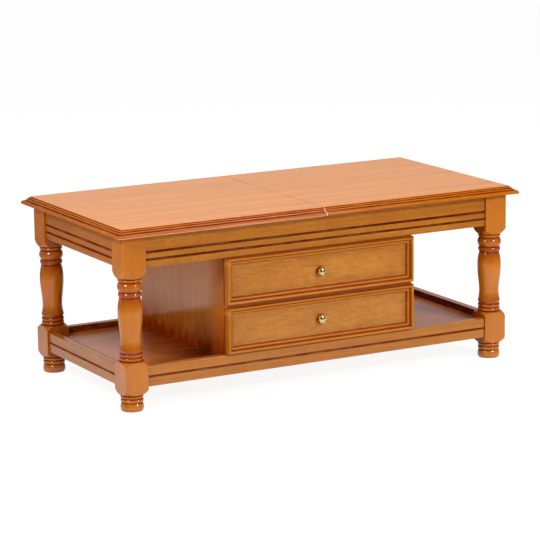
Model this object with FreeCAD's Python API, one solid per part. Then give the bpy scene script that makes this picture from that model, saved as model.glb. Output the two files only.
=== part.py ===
import FreeCAD, Part
import math
import os

# Storage coffee table: turned legs, two drawers, a sunk shelf, and a top of two sliding leaves over a well.
# Lengths in millimetres. X runs along the table, Y from front to back, Z up.
# The origin is on the floor, under the middle of the top.

# Overall
top_length = 1110.0
top_depth = 550.0
total_height = 440.0

# Top leaves and their edge moulding
leaf_thickness = 19.5
edge_width = 18.5
top_overhang = 23.5
seam_gap = 0.5
leaf_running_gap = 0.3
tongue_length = 8.0
tongue_thickness = 6.0
panel_arris_round = 0.8
sunk_drop_share = 0.123
upper_run_share, upper_drop_share, upper_step_share = 0.240, 0.220, 0.308
middle_ledge_share, middle_run_share, middle_drop_share, middle_step_share = 0.265, 0.460, 0.451, 0.533
nosing_ledge_share, nosing_drop_share = 0.500, 0.836
bevel_run_share, bevel_drop_share = 0.946, 0.949

# Legs: square stock, turned at the foot and between the blocks
leg_stock = 60.0
arris_round = 1.5
corner_margin = 0.6
foot_height = 39.0
lower_block_height = 81.0
upper_block_margin = 25.0
lower_shoulder_height = 14.0
upper_shoulder_height = 17.0
shoulder_swell = 1.4
shoulder_start_share = 0.95
# Radii are shares of half the stock, heights are shares of the turned stretch
neck_share = 0.82
foot_base_share = 0.85
bun_crest_shares = (0.93, 0.30)
bun_top_height_share = 0.52
foot_ring_crest_share = 0.912
foot_ring_top_shares = (0.77, 0.985)
vase_root_share = 0.845
lower_ring_start_share = 0.004
lower_ring_crest_share = 0.927
lower_ring_top_shares = (0.048, 0.099)
flare_shares = (0.935, 0.134)
vase_curve_shares = ((0.823, 0.274), (0.897, 0.406), (0.987, 0.578), (0.940, 0.690), (0.815, 0.771))
upper_ring_crest_shares = (0.927, 0.983, 0.937)
upper_ring_top_shares = (0.837, 0.958, 1.0)

# Aprons and lower rails: one board thickness, tenoned into the legs
rail_thickness = 21.0
face_setback = 5.0
rail_edge_round = 1.2
apron_height = 78.0
apron_groove_radius = 2.5
apron_groove_heights = (18.0, 36.0)
rail_height = 48.0
rail_seat = 18.0
rail_groove_radius = 2.25
rail_groove_height = 24.0
tenon_thickness = 8.0
tenon_length = 28.0
tenon_shoulder = 10.0
mortise_end_gap = 1.0

# Lower shelf
shelf_drop = 15.0
shelf_thickness = 14.0
shelf_fit_gap = 0.5
batten_width = 15.0
batten_height = 15.0

# Cabinet under the well
cabinet_inner_width = 480.0
side_thickness = 14.0
side_front_reach = 6.5
side_top_gap = 1.5
back_thickness = 12.0
well_floor_thickness = 10.0
floor_housing_depth = 5.0

# Leaf guides: rails on the long aprons, grooved runners under the leaves
guide_width = 14.0
guide_height = 14.0
guide_drop = 10.0
guide_end_gap = 0.5
leaf_runner_width = 30.0
leaf_runner_setback = 5.5
leaf_runner_lip = 9.0
leaf_runner_seam_gap = 10.0
leaf_slide_gap = 0.4
leaf_stop_gap = 1.0
notch_gap = 3.0

# Drawers, from the lowest up
drawer_names = ("lower", "upper")
front_width = 520.0
front_board_thickness = 8.0
front_board_round = 1.2
field_sink = 5.5
front_bottom_gap = 0.9
front_gap = 4.2
front_rises = (3.0, 0.0)
front_top_gap = 0.5
strip_drop = 1.0
strip_width = 16.8
strip_height = 13.9
strip_fillet = 1.0
bead_width = 6.8
bead_height = 6.0
groove_width = 1.2
groove_height = 4.6
rim_width = 6.0
rim_round = 1.6
rim_crown_width = 2.6
rim_crown_height = 4.9
skirt_width = 2.0
skirt_height = 6.5
inner_front_thickness = 12.0
corner_rebate = 6.0
drawer_side_thickness = 12.0
drawer_back_thickness = 12.0
drawer_back_drop = 8.0
drawer_bottom_thickness = 5.0
bottom_groove_depth = 5.0
bottom_lift = 8.0
drawer_back_clearance = 11.0
drawer_side_gap = 6.0
box_bottom_inset = 6.0
box_top_inset = 14.0
drawer_runner_height = 14.0
drawer_runner_engagement = 6.0
drawer_runner_setback = 3.5
drawer_slide_gap = 0.4

# Knob: its outline is in shares of the knob's radius and projection
knob_radius = 10.7
knob_projection = 14.0
knob_drops = (0.5, 2.5)
knob_bore_radius = 2.3
knob_bore_depth = 9.0
knob_foot_shares = (0.66, 0.08)
knob_neck_shares = (0.42, 0.32)
knob_flare_shares = (0.95, 0.53)
knob_rim_crest_shares = (1.0, 0.70)
knob_rim_top_shares = (0.90, 0.87)
knob_ring_shares = (0.80, 0.87)
knob_groove_shares = (0.75, 0.83)

# Screws
screw_head_radius = 4.0
screw_head_depth = 2.6
screw_shank_radius = 2.0
screw_hole_gap = 0.3
screw_bite = 10.0
pan_head_height = 2.5
front_screw_bite = 6.0
knob_screw_bite = 8.0
cabinet_screw_bite = 28.0
guide_screw_count = 5
guide_screw_end_inset = 41.5
drawer_runner_screw_count = 3
drawer_runner_screw_end_inset = 45.0
leaf_runner_screw_count = 3
leaf_runner_screw_end_inset = 25.0
leaf_runner_screw_inset = 10.0
cabinet_screw_count = 3
cabinet_screw_end_inset = 75.0
front_screw_end_inset = 62.0
front_screw_edge_inset = 14.0

# How far a cutting solid runs past the face it cuts
overrun = 5.0

# Planes that follow from the sizes above
frame_top = total_height - leaf_thickness - leaf_running_gap
leaf_underside = total_height - leaf_thickness
leg_face_x = top_length / 2 - top_overhang
leg_face_y = top_depth / 2 - top_overhang
leg_inner_x = leg_face_x - leg_stock
leg_inner_y = leg_face_y - leg_stock
rail_face_x = leg_face_x - face_setback
rail_face_y = leg_face_y - face_setback
rail_inner_x = rail_face_x - rail_thickness
rail_inner_y = rail_face_y - rail_thickness
panel_edge_x = top_length / 2 - edge_width
panel_edge_y = top_depth / 2 - edge_width
apron_bottom = frame_top - apron_height
rail_bottom = foot_height + rail_seat
rail_top = rail_bottom + rail_height
shelf_top = rail_top - shelf_drop
shelf_bottom = shelf_top - shelf_thickness
cabinet_half = cabinet_inner_width / 2
side_top = frame_top - side_top_gap
back_face_y = rail_inner_y - back_thickness
leaf_travel = cabinet_half
guide_face_y = rail_inner_y - guide_width
guide_top = frame_top - guide_drop
guide_bottom = guide_top - guide_height
leaf_runner_outer_y = rail_inner_y - leaf_runner_setback
leaf_runner_inner_y = leaf_runner_outer_y - leaf_runner_width
leaf_runner_bottom = guide_bottom - leaf_slide_gap - leaf_runner_lip
leaf_runner_end_x = leg_inner_x - leaf_travel - leaf_stop_gap
field_y = field_sink - rail_face_y
front_back_y = field_y + front_board_thickness
inner_front_back_y = front_back_y + inner_front_thickness
drawer_end_y = back_face_y - drawer_back_clearance
fronts_room = apron_bottom - rail_top - front_bottom_gap - front_top_gap
front_height = (fronts_room + front_gap) / len(drawer_names) - front_gap
box_half = cabinet_half - drawer_side_gap
drawer_runner_width = drawer_side_gap + drawer_runner_engagement
drawer_runner_front_y = -rail_inner_y + drawer_runner_setback

SIDES = {"left": -1, "right": 1}
ENDS = {"front": -1, "back": 1}
TURNS = {"front": 0, "right": 90, "back": 180, "left": -90}
X_AXIS = FreeCAD.Vector(1, 0, 0)
Y_AXIS = FreeCAD.Vector(0, 1, 0)
Z_AXIS = FreeCAD.Vector(0, 0, 1)


def box(x, y, z):
    """Block between two limits on each axis."""
    return Part.makeBox(x[1] - x[0], y[1] - y[0], z[1] - z[0], FreeCAD.Vector(x[0], y[0], z[0]))


def span(side, near, far):
    """Limits of something between two distances from the middle, on the -1 or the +1 side."""
    return tuple(sorted((side * near, side * far)))


def spread(count, low, high):
    """Evenly spaced places from low to high."""
    return [low + (high - low) * i / (count - 1) for i in range(count)]


class Pen:
    """Draws a closed section one stretch at a time, in two section coordinates u and v."""

    def __init__(self, to_space, u, v):
        self.to_space = to_space
        self.start = self.here = (u, v)
        self.edges = []

    def arc(self, middle, u, v):
        """Arc through a middle point to (u, v)."""
        points = [self.to_space(*p) for p in (self.here, middle, (u, v))]
        self.edges.append(Part.Arc(*points).toShape())
        self.here = (u, v)

    def quarter(self, centre, u, v):
        """Quarter round about a centre to (u, v)."""
        share = math.sqrt(0.5)
        middle = [c + share * (a + b - 2 * c) for a, b, c in zip(self.here, (u, v), centre)]
        self.arc(middle, u, v)

    def line(self, u, v):
        """Straight stretch to (u, v)."""
        self.edges.append(Part.LineSegment(self.to_space(*self.here), self.to_space(u, v)).toShape())
        self.here = (u, v)

    def level_to_upright(self, u, v):
        """Quarter round that leaves along u and arrives along v."""
        self.quarter((self.here[0], v), u, v)

    def upright_to_level(self, u, v):
        """Quarter round that leaves along v and arrives along u."""
        self.quarter((u, self.here[1]), u, v)

    def swell(self, rise, u, v):
        """Arc to (u, v) that stands proud of the straight line by a rise, on the right of its run."""
        du, dv = u - self.here[0], v - self.here[1]
        reach = rise / math.hypot(du, dv)
        self.arc((self.here[0] + du / 2 + dv * reach, self.here[1] + dv / 2 - du * reach), u, v)

    def bead(self, crest, v):
        """Round that swells to the crest and comes back to the u it left, at v."""
        u = self.here[0]
        self.arc((crest, (self.here[1] + v) / 2), u, v)

    def dome(self, v):
        """Ball-shaped cap from here to the axis at v."""
        radius, start = self.here
        rise = v - start
        ball = (radius ** 2 + rise ** 2) / (2 * rise)
        half_angle = math.asin(radius / ball) / 2
        self.arc((ball * math.sin(half_angle), v - ball + ball * math.cos(half_angle)), 0, v)

    def curve(self, points):
        """Smooth curve through the points."""
        spline = Part.BSplineCurve()
        spline.interpolate([self.to_space(*p) for p in [self.here, *points]])
        self.edges.append(spline.toShape())
        self.here = points[-1]

    def face(self):
        """The closed section."""
        if self.here != self.start:
            self.line(*self.start)
        return Part.Face(Part.Wire(self.edges))


def across(u, v):
    """Section point in the plane across the X axis."""
    return FreeCAD.Vector(0, u, v)


def about(u, v):
    """Section point at radius u and height v, for a turning about Z."""
    return FreeCAD.Vector(u, 0, v)


def mitred_bar(section, base, out, up, ends, mitres, reach, height):
    """Length of moulding whose section (out, up) runs between two ends, each mitred or square."""
    low, high = ends
    bar = section.extrude(X_AXIS * (high - low + 2 * reach))
    bar.translate(X_AXIS * (low - reach))
    plan = []
    for end, mitre, sign in ((low, mitres[0], -1), (high, mitres[1], 1)):
        edge = [(end + sign * u * mitre, u) for u in (-reach, reach)]
        plan += edge[::sign]
    corners = [FreeCAD.Vector(x, u, -overrun) for x, u in plan]
    trim = Part.Face(Part.makePolygon(corners + corners[:1])).extrude(Z_AXIS * (height + 2 * overrun))
    bar = bar.common(trim)
    run = out.cross(up)
    bar.Placement = FreeCAD.Placement(FreeCAD.Matrix(
        run.x, out.x, up.x, base.x,
        run.y, out.y, up.y, base.y,
        run.z, out.z, up.z, base.z,
        0, 0, 0, 1))
    return bar


def wood_screw(at, towards, length, gap=0):
    """Countersunk screw with its head flush at a point; with a gap, the hole that takes it."""
    radii = (screw_head_radius + gap, screw_shank_radius + gap)
    head = Part.makeCone(*radii, screw_head_depth + gap, at, towards)
    shank = Part.makeCylinder(screw_shank_radius + gap, length + gap, at, towards)
    return head.fuse(shank)


def pan_screw(at, towards, length):
    """Screw whose flat head stands on a face."""
    head = Part.makeCylinder(screw_head_radius, pan_head_height, at, towards * -1)
    return head.fuse(Part.makeCylinder(screw_shank_radius, length, at, towards)).removeSplitter()


def pan_hole(at, towards, length):
    """Hole for the shank of a flat-headed screw."""
    start = at - towards * overrun
    depth = length + screw_hole_gap + overrun
    return Part.makeCylinder(screw_shank_radius + screw_hole_gap, depth, start, towards)


def leg_section():
    """Half outline of the turned leg: foot, lower block, vase, upper block."""
    half = leg_stock / 2
    block = half * math.sqrt(2) + corner_margin
    shoulder_start = half * shoulder_start_share
    lower_block_top = foot_height + lower_block_height
    upper_block_bottom = apron_bottom - upper_block_margin
    vase_height = upper_block_bottom - lower_block_top

    def foot_at(radius_share, height_share):
        return half * radius_share, foot_height * height_share

    def vase_at(radius_share, height_share):
        return half * radius_share, lower_block_top + vase_height * height_share

    pen = Pen(about, 0, 0)
    pen.line(*foot_at(foot_base_share, 0))
    pen.arc(foot_at(*bun_crest_shares), *foot_at(neck_share, bun_top_height_share))
    for top in foot_ring_top_shares:
        pen.bead(*foot_at(foot_ring_crest_share, top))
    pen.line(half * neck_share, foot_height)
    pen.line(shoulder_start, foot_height)
    pen.swell(shoulder_swell, block, foot_height + lower_shoulder_height)
    pen.line(block, lower_block_top - lower_shoulder_height)
    pen.swell(shoulder_swell, shoulder_start, lower_block_top)
    pen.line(half * vase_root_share, lower_block_top)
    pen.line(*vase_at(vase_root_share, lower_ring_start_share))
    for top in lower_ring_top_shares:
        pen.bead(*vase_at(lower_ring_crest_share, top))
    pen.line(*vase_at(*flare_shares))
    pen.curve([vase_at(*shares) for shares in vase_curve_shares])
    for crest, top in zip(upper_ring_crest_shares, upper_ring_top_shares):
        pen.bead(*vase_at(crest, top))
    pen.line(shoulder_start, upper_block_bottom)
    pen.swell(shoulder_swell, block, upper_block_bottom + upper_shoulder_height)
    pen.line(block, frame_top)
    pen.line(0, frame_top)
    return pen.face()


def make_leg(side, end, mortises):
    """Turned leg at one corner, cut from square stock, with the mortises for its rails."""
    turning = leg_section().revolve(FreeCAD.Vector(), Z_AXIS, 360)
    half = leg_stock / 2
    stock = box((-half, half), (-half, half), (0, frame_top))
    arrises = [e for e in stock.Edges if e.BoundBox.ZLength > leg_stock]
    leg = turning.common(stock.makeFillet(arris_round, arrises))
    leg.translate(FreeCAD.Vector(side * (leg_face_x - half), end * (leg_face_y - half), 0))
    return leg.cut(mortises)


def rail_section(height, groove_radius, groove_heights):
    """Section of a rail: u is the depth behind its face; half-round grooves run along the face."""
    pen = Pen(across, rail_edge_round, height)
    pen.level_to_upright(0, height - rail_edge_round)
    for groove in sorted(groove_heights, reverse=True):
        pen.line(0, groove + groove_radius)
        pen.bead(groove_radius, groove - groove_radius)
    pen.line(0, rail_edge_round)
    pen.upright_to_level(rail_edge_round, 0)
    pen.line(rail_thickness, 0)
    pen.line(rail_thickness, height)
    return pen.face()


def tenons(clear, height, reach):
    """The two tenons of a rail, or with more reach the mortises that take them."""
    inset = (rail_thickness - tenon_thickness) / 2
    cheeks = (inset, inset + tenon_thickness)
    return [box(span(s, clear / 2, clear / 2 + reach), cheeks, (tenon_shoulder, height - tenon_shoulder))
            for s in SIDES.values()]


def to_side(shape, name, bottom):
    """Carries a rail drawn behind the plane y = 0 to its side of the frame."""
    face = rail_face_y if name in ENDS else rail_face_x
    shape.rotate(FreeCAD.Vector(), Z_AXIS, TURNS[name])
    outward = FreeCAD.Rotation(Z_AXIS, TURNS[name]).multVec(Y_AXIS * -1)
    shape.translate(outward * face + Z_AXIS * bottom)
    return shape


def make_rails():
    """Aprons and lower rails by name, and the mortises that they need in the legs."""
    kinds = {
        "apron": (apron_bottom, apron_height, apron_groove_radius, apron_groove_heights),
        "lower_rail": (rail_bottom, rail_height, rail_groove_radius, (rail_groove_height,)),
    }
    rails, mortises = {}, []
    for kind, (bottom, height, groove_radius, groove_heights) in kinds.items():
        for name in TURNS:
            clear = 2 * (leg_inner_x if name in ENDS else leg_inner_y)
            rail = rail_section(height, groove_radius, groove_heights).extrude(X_AXIS * clear)
            rail.translate(X_AXIS * (-clear / 2))
            rail = rail.fuse(tenons(clear, height, tenon_length)).removeSplitter()
            rails[name + "_" + kind] = to_side(rail, name, bottom)
            for mortise in tenons(clear, height, tenon_length + mortise_end_gap):
                mortises.append(to_side(mortise, name, bottom))
    return rails, mortises


def make_shelf(screw_holes):
    """Shelf between the lower rails, notched round the legs."""
    shelf = box((-rail_inner_x, rail_inner_x), (-rail_inner_y, rail_inner_y), (shelf_bottom, shelf_top))
    notches = [box(span(s, leg_inner_x - shelf_fit_gap, rail_inner_x + overrun),
                   span(e, leg_inner_y - shelf_fit_gap, rail_inner_y + overrun),
                   (shelf_bottom - overrun, shelf_top + overrun))
               for s in SIDES.values() for e in ENDS.values()]
    return shelf.cut(notches + screw_holes)


def make_battens():
    """Four battens on the rails' inner faces that carry the shelf."""
    z = (shelf_bottom - batten_height, shelf_bottom)
    long_ones = [box((-leg_inner_x, leg_inner_x), span(e, rail_inner_y - batten_width, rail_inner_y), z)
                 for e in ENDS.values()]
    short_ones = [box(span(s, rail_inner_x - batten_width, rail_inner_x), (-leg_inner_y, leg_inner_y), z)
                  for s in SIDES.values()]
    return Part.makeCompound(long_ones + short_ones)


def cabinet_screws(side, gap=0):
    """Screws from under the shelf into one cabinet side, or their holes."""
    x = side * (cabinet_half + side_thickness / 2)
    reach = rail_inner_y - cabinet_screw_end_inset
    length = shelf_thickness + cabinet_screw_bite
    return [wood_screw(FreeCAD.Vector(x, y, shelf_bottom), Z_AXIS, length, gap)
            for y in spread(cabinet_screw_count, -reach, reach)]


def make_cabinet_side(side, screw_holes):
    """Upright panel from the shelf to the top of the well, notched for the leaf runners."""
    x = span(side, cabinet_half, cabinet_half + side_thickness)
    past = span(side, cabinet_half - overrun, cabinet_half + side_thickness + overrun)
    panel = box(x, (-rail_inner_y, rail_inner_y), (shelf_top, side_top))
    lip = box(x, (-rail_inner_y - side_front_reach, -rail_inner_y), (rail_top, apron_bottom))
    notches = [box(past, span(e, leaf_runner_inner_y - notch_gap, rail_inner_y + overrun),
                   (leaf_runner_bottom - notch_gap, side_top + overrun))
               for e in ENDS.values()]
    housing = box(span(side, cabinet_half - overrun, cabinet_half + floor_housing_depth),
                  (-rail_inner_y - overrun, rail_inner_y + overrun),
                  (apron_bottom, apron_bottom + well_floor_thickness))
    return panel.fuse(lip).cut(notches + [housing] + screw_holes).removeSplitter()


def make_cabinet_back():
    """Panel that closes the drawers' space at the back."""
    return box((-cabinet_half, cabinet_half), (back_face_y, rail_inner_y), (shelf_top, apron_bottom))


def make_well_floor():
    """Floor of the storage well, housed in the cabinet sides."""
    reach = cabinet_half + floor_housing_depth
    z = (apron_bottom, apron_bottom + well_floor_thickness)
    return box((-reach, reach), (-rail_inner_y, rail_inner_y), z)


def guide_screws(end, gap=0):
    """Screws through one leaf guide into its apron, or their holes."""
    length = guide_width + screw_bite
    reach = leg_inner_x - guide_screw_end_inset
    z = (guide_bottom + guide_top) / 2
    return [wood_screw(FreeCAD.Vector(x, end * guide_face_y, z), Y_AXIS * end, length, gap)
            for x in spread(guide_screw_count, -reach, reach)]


def make_guide(end):
    """Rail on the inner face of a long apron that the leaf runners hang on."""
    reach = leg_inner_x - guide_end_gap
    guide = box((-reach, reach), span(end, guide_face_y, rail_inner_y), (guide_bottom, guide_top))
    return guide.cut(guide_screws(end, screw_hole_gap))


def front_bottom(level):
    """Height of the lower edge of a drawer front."""
    return rail_top + front_bottom_gap + level * (front_height + front_gap)


def box_limits(level):
    """Bottom and top of a drawer box."""
    bottom = front_bottom(level)
    return bottom + box_bottom_inset, bottom + front_height - box_top_inset


def runner_limits(level):
    """Bottom and top of a drawer's side runners."""
    middle = sum(box_limits(level)) / 2
    return middle - drawer_runner_height / 2, middle + drawer_runner_height / 2


def drawer_runner_screws(level, side, gap=0):
    """Screws through one drawer runner into the cabinet side, or their holes."""
    x = side * (cabinet_half - drawer_runner_width)
    z = sum(runner_limits(level)) / 2
    length = drawer_runner_width + screw_bite
    inset = drawer_runner_screw_end_inset
    return [wood_screw(FreeCAD.Vector(x, y, z), X_AXIS * side, length, gap)
            for y in spread(drawer_runner_screw_count, drawer_runner_front_y + inset, back_face_y - inset)]


def make_drawer_runners(level):
    """The pair of runners that carries one drawer."""
    runners = []
    for side in SIDES.values():
        bar = box(span(side, cabinet_half - drawer_runner_width, cabinet_half),
                  (drawer_runner_front_y, back_face_y), runner_limits(level))
        runners.append(bar.cut(drawer_runner_screws(level, side, screw_hole_gap)))
    return Part.makeCompound(runners)


def edge_section():
    """Section of the top's edge: two small ovolos and a large nosing; u outwards, v up from below."""
    def at(run_share, drop_share):
        return edge_width * run_share, leaf_thickness * (1 - drop_share)

    tongue_bottom = (leaf_thickness - tongue_thickness) / 2
    pen = Pen(across, 0, 0)
    pen.line(0, tongue_bottom)
    pen.line(-tongue_length, tongue_bottom)
    pen.line(-tongue_length, tongue_bottom + tongue_thickness)
    pen.line(0, tongue_bottom + tongue_thickness)
    pen.line(*at(0, sunk_drop_share))
    pen.level_to_upright(*at(upper_run_share, upper_drop_share))
    pen.line(*at(upper_run_share, upper_step_share))
    pen.line(*at(middle_ledge_share, upper_step_share))
    pen.level_to_upright(*at(middle_run_share, middle_drop_share))
    pen.line(*at(middle_run_share, middle_step_share))
    pen.line(*at(nosing_ledge_share, middle_step_share))
    pen.level_to_upright(*at(1, nosing_drop_share))
    pen.line(*at(1, bevel_drop_share))
    pen.line(edge_width * bevel_run_share, 0)
    return pen.face()


def make_edges(side):
    """Front, end and back edge mouldings of one leaf, mitred where they meet."""
    reach = edge_width + tongue_length
    inner = (side * seam_gap / 2, 0)
    outer = (side * panel_edge_x, 1)
    edges = {}
    for name, end in ENDS.items():
        out = Y_AXIS * end
        run = out.cross(Z_AXIS)
        stops = sorted((x * run.x, mitre) for x, mitre in (inner, outer))
        base = out * panel_edge_y + Z_AXIS * leaf_underside
        ends, mitres = zip(*stops)
        edges[name] = mitred_bar(edge_section(), base, out, Z_AXIS, ends, mitres, reach, leaf_thickness)
    base = X_AXIS * (side * panel_edge_x) + Z_AXIS * leaf_underside
    ends = (-panel_edge_y, panel_edge_y)
    out = X_AXIS * side
    edges["end"] = mitred_bar(edge_section(), base, out, Z_AXIS, ends, (1, 1), reach, leaf_thickness)
    return edges


def leaf_runner_screws(side, end, gap=0):
    """Screws up through one runner into its leaf, or their holes."""
    inset = leaf_runner_screw_end_inset
    y = end * (leaf_runner_inner_y + leaf_runner_screw_inset)
    length = leaf_underside - leaf_runner_bottom + screw_bite
    return [wood_screw(FreeCAD.Vector(side * x, y, leaf_runner_bottom), Z_AXIS, length, gap)
            for x in spread(leaf_runner_screw_count, leaf_runner_seam_gap + inset, leaf_runner_end_x - inset)]


def make_panel(side):
    """Veneered panel of one leaf, grooved for the tongues of its edges."""
    z = (leaf_underside, total_height)
    panel = box(span(side, seam_gap / 2, panel_edge_x), (-panel_edge_y, panel_edge_y), z)
    panel = panel.makeFillet(panel_arris_round, [e for e in panel.Edges if e.BoundBox.ZMin > leaf_underside])
    tongue_bottom = leaf_underside + (leaf_thickness - tongue_thickness) / 2
    slot = (tongue_bottom, tongue_bottom + tongue_thickness)
    past_x = span(side, -overrun, panel_edge_x + overrun)
    grooves = [box(past_x, span(e, panel_edge_y - tongue_length, panel_edge_y + overrun), slot)
               for e in ENDS.values()]
    past_y = (-panel_edge_y - overrun, panel_edge_y + overrun)
    grooves.append(box(span(side, panel_edge_x - tongue_length, panel_edge_x + overrun), past_y, slot))
    holes = [hole for e in ENDS.values() for hole in leaf_runner_screws(side, e, screw_hole_gap)]
    return panel.cut(grooves + holes)


def make_leaf_runners(side):
    """Pair of grooved runners under one leaf; each wraps round a guide rail."""
    runners = []
    x = span(side, leaf_runner_seam_gap, leaf_runner_end_x)
    for end in ENDS.values():
        y = span(end, leaf_runner_inner_y, leaf_runner_outer_y)
        bar = box(x, y, (leaf_runner_bottom, leaf_underside))
        groove = box((x[0] - overrun, x[1] + overrun),
                     span(end, guide_face_y - leaf_slide_gap, leaf_runner_outer_y + overrun),
                     (guide_bottom - leaf_slide_gap, guide_top + leaf_slide_gap))
        runners.append(bar.cut([groove] + leaf_runner_screws(side, end, screw_hole_gap)))
    return Part.makeCompound(runners)


def strip_section():
    """Section of the drawer moulding, from the field: bead, groove, crowned rim, sloping skirt."""
    rim_end = strip_width - skirt_width
    rim_start = rim_end - rim_width
    pen = Pen(across, 0, 0)
    pen.line(0, strip_fillet)
    pen.upright_to_level(bead_width, bead_height)
    pen.line(rim_start - groove_width, groove_height)
    pen.line(rim_start, groove_height)
    pen.line(rim_start, strip_height - rim_crown_height)
    pen.upright_to_level(rim_start + rim_crown_width, strip_height)
    pen.line(rim_end - rim_round, strip_height)
    pen.level_to_upright(rim_end, strip_height - rim_round)
    pen.line(strip_width, skirt_height)
    pen.line(strip_width, 0)
    return pen.face()


def make_strips(level):
    """Four mitred strips round the field of one drawer front."""
    half_width = front_width / 2 - strip_width
    half_height = front_height / 2 - strip_drop - strip_width
    centre = FreeCAD.Vector(0, field_y, front_bottom(level) + front_height / 2 - strip_drop)
    strips = []
    for axis, reach, half in ((X_AXIS, half_width, half_height), (Z_AXIS, half_height, half_width)):
        for sign in SIDES.values():
            out = axis * sign
            strips.append(mitred_bar(strip_section(), centre + out * reach, out, Y_AXIS * -1,
                                     (-half, half), (1, 1), strip_width, strip_height))
    return Part.makeCompound(strips)


def knob_height(level):
    """Height of a drawer's knob, a little under the middle of its field."""
    return front_bottom(level) + front_height / 2 - strip_drop - knob_drops[level]


def knob_section():
    """Half outline of the brass knob: foot, hollow neck, rounded rim, sunk ring and dome."""
    def at(radius_share, height_share):
        return knob_radius * radius_share, knob_projection * height_share

    pen = Pen(about, knob_bore_radius, 0)
    pen.line(*at(knob_foot_shares[0], 0))
    pen.line(*at(*knob_foot_shares))
    pen.level_to_upright(*at(*knob_neck_shares))
    pen.upright_to_level(*at(*knob_flare_shares))
    pen.arc(at(*knob_rim_crest_shares), *at(*knob_rim_top_shares))
    pen.line(*at(*knob_ring_shares))
    pen.line(*at(*knob_groove_shares))
    pen.dome(knob_projection)
    pen.line(0, knob_bore_depth)
    pen.line(knob_bore_radius, knob_bore_depth)
    return pen.face()


def make_knob(level):
    """Turned knob standing on the field of one drawer front."""
    knob = knob_section().revolve(FreeCAD.Vector(), Z_AXIS, 360)
    knob.rotate(FreeCAD.Vector(), X_AXIS, 90)
    knob.translate(FreeCAD.Vector(0, field_y, knob_height(level)))
    return knob


def make_drawer(level):
    """All pieces of one drawer by name."""
    z0 = front_bottom(level)
    low, high = box_limits(level)
    centre = FreeCAD.Vector(0, inner_front_back_y, knob_height(level))
    outward = Y_AXIS * -1
    inner_half = box_half - drawer_side_thickness
    bottom_z = (low + bottom_lift, low + bottom_lift + drawer_bottom_thickness)
    screw_places = [FreeCAD.Vector(s * (inner_half - front_screw_end_inset), inner_front_back_y, z)
                    for s in SIDES.values()
                    for z in (bottom_z[1] + front_screw_edge_inset, high - front_screw_edge_inset)]
    front_screw_length = inner_front_thickness + front_screw_bite
    knob_screw_length = inner_front_thickness + front_board_thickness + knob_screw_bite
    holes = [pan_hole(p, outward, front_screw_length) for p in screw_places]
    holes.append(pan_hole(centre, outward, knob_screw_length))

    board_top = z0 + front_height + front_rises[level]
    board = box((-front_width / 2, front_width / 2), (field_y, front_back_y), (z0, board_top))
    board = board.makeFillet(front_board_round, [e for e in board.Edges if e.BoundBox.YMax < front_back_y])
    rebate_y = inner_front_back_y - corner_rebate
    groove_half = inner_half + bottom_groove_depth
    bottom_front_y = inner_front_back_y - bottom_groove_depth
    floor = box((-groove_half, groove_half), (bottom_front_y, drawer_end_y), bottom_z)

    inner_front = box((-box_half, box_half), (front_back_y, inner_front_back_y), (low, high))
    rebates = [box(span(s, inner_half, box_half + overrun), (rebate_y, inner_front_back_y + overrun),
                   (low - overrun, high + overrun)) for s in SIDES.values()]
    back = box((-inner_half, inner_half), (drawer_end_y - drawer_back_thickness, drawer_end_y),
               (bottom_z[1], high - drawer_back_drop))

    pieces = {
        "front": board.cut(holes),
        "moulding": make_strips(level),
        "inner_front": inner_front.cut(rebates + holes + [floor]),
        "back": back,
        "bottom": floor,
        "knob": make_knob(level),
        "knob_screw": pan_screw(centre, outward, knob_screw_length),
        "front_screws": Part.makeCompound([pan_screw(p, outward, front_screw_length) for p in screw_places]),
    }
    runner_low, runner_high = runner_limits(level)
    for name, side in SIDES.items():
        board = box(span(side, inner_half, box_half), (rebate_y, drawer_end_y), (low, high))
        groove = box(span(side, box_half - drawer_runner_engagement - drawer_slide_gap, box_half + overrun),
                     (drawer_runner_front_y - drawer_slide_gap, drawer_end_y + overrun),
                     (runner_low - drawer_slide_gap, runner_high + drawer_slide_gap))
        pieces[name + "_side"] = board.cut([groove, floor])
    return pieces


def make_nodes():
    """Every piece of the table by node name."""
    rails, mortises = make_rails()
    nodes = dict(rails)
    levels = list(enumerate(drawer_names))
    for end_name, end in ENDS.items():
        for side_name, side in SIDES.items():
            nodes["leg_" + end_name + "_" + side_name] = make_leg(side, end, mortises)
        nodes[end_name + "_guide_rail"] = make_guide(end)
        holes = guide_screws(end, screw_hole_gap)
        nodes[end_name + "_apron"] = nodes[end_name + "_apron"].cut(holes)
    nodes["guide_rail_screws"] = Part.makeCompound([s for e in ENDS.values() for s in guide_screws(e)])

    nodes["lower_shelf"] = make_shelf([h for s in SIDES.values() for h in cabinet_screws(s, screw_hole_gap)])
    nodes["shelf_battens"] = make_battens()
    nodes["cabinet_screws"] = Part.makeCompound([c for s in SIDES.values() for c in cabinet_screws(s)])
    for name, side in SIDES.items():
        holes = cabinet_screws(side, screw_hole_gap)
        for level, _ in levels:
            holes += drawer_runner_screws(level, side, screw_hole_gap)
        nodes["cabinet_" + name + "_side"] = make_cabinet_side(side, holes)
        nodes[name + "_leaf_panel"] = make_panel(side)
        nodes[name + "_leaf_runners"] = make_leaf_runners(side)
        nodes[name + "_leaf_screws"] = Part.makeCompound(
            [screw for e in ENDS.values() for screw in leaf_runner_screws(side, e)])
        for edge, bar in make_edges(side).items():
            nodes[name + "_leaf_" + edge + "_edge"] = bar
    nodes["cabinet_back"] = make_cabinet_back()
    nodes["well_floor"] = make_well_floor()

    for level, name in levels:
        nodes[name + "_drawer_runners"] = make_drawer_runners(level)
        for piece, shape in make_drawer(level).items():
            nodes[name + "_drawer_" + piece] = shape
    nodes["drawer_runner_screws"] = Part.makeCompound(
        [screw for level, _ in levels for s in SIDES.values() for screw in drawer_runner_screws(level, s)])
    return nodes


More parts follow.
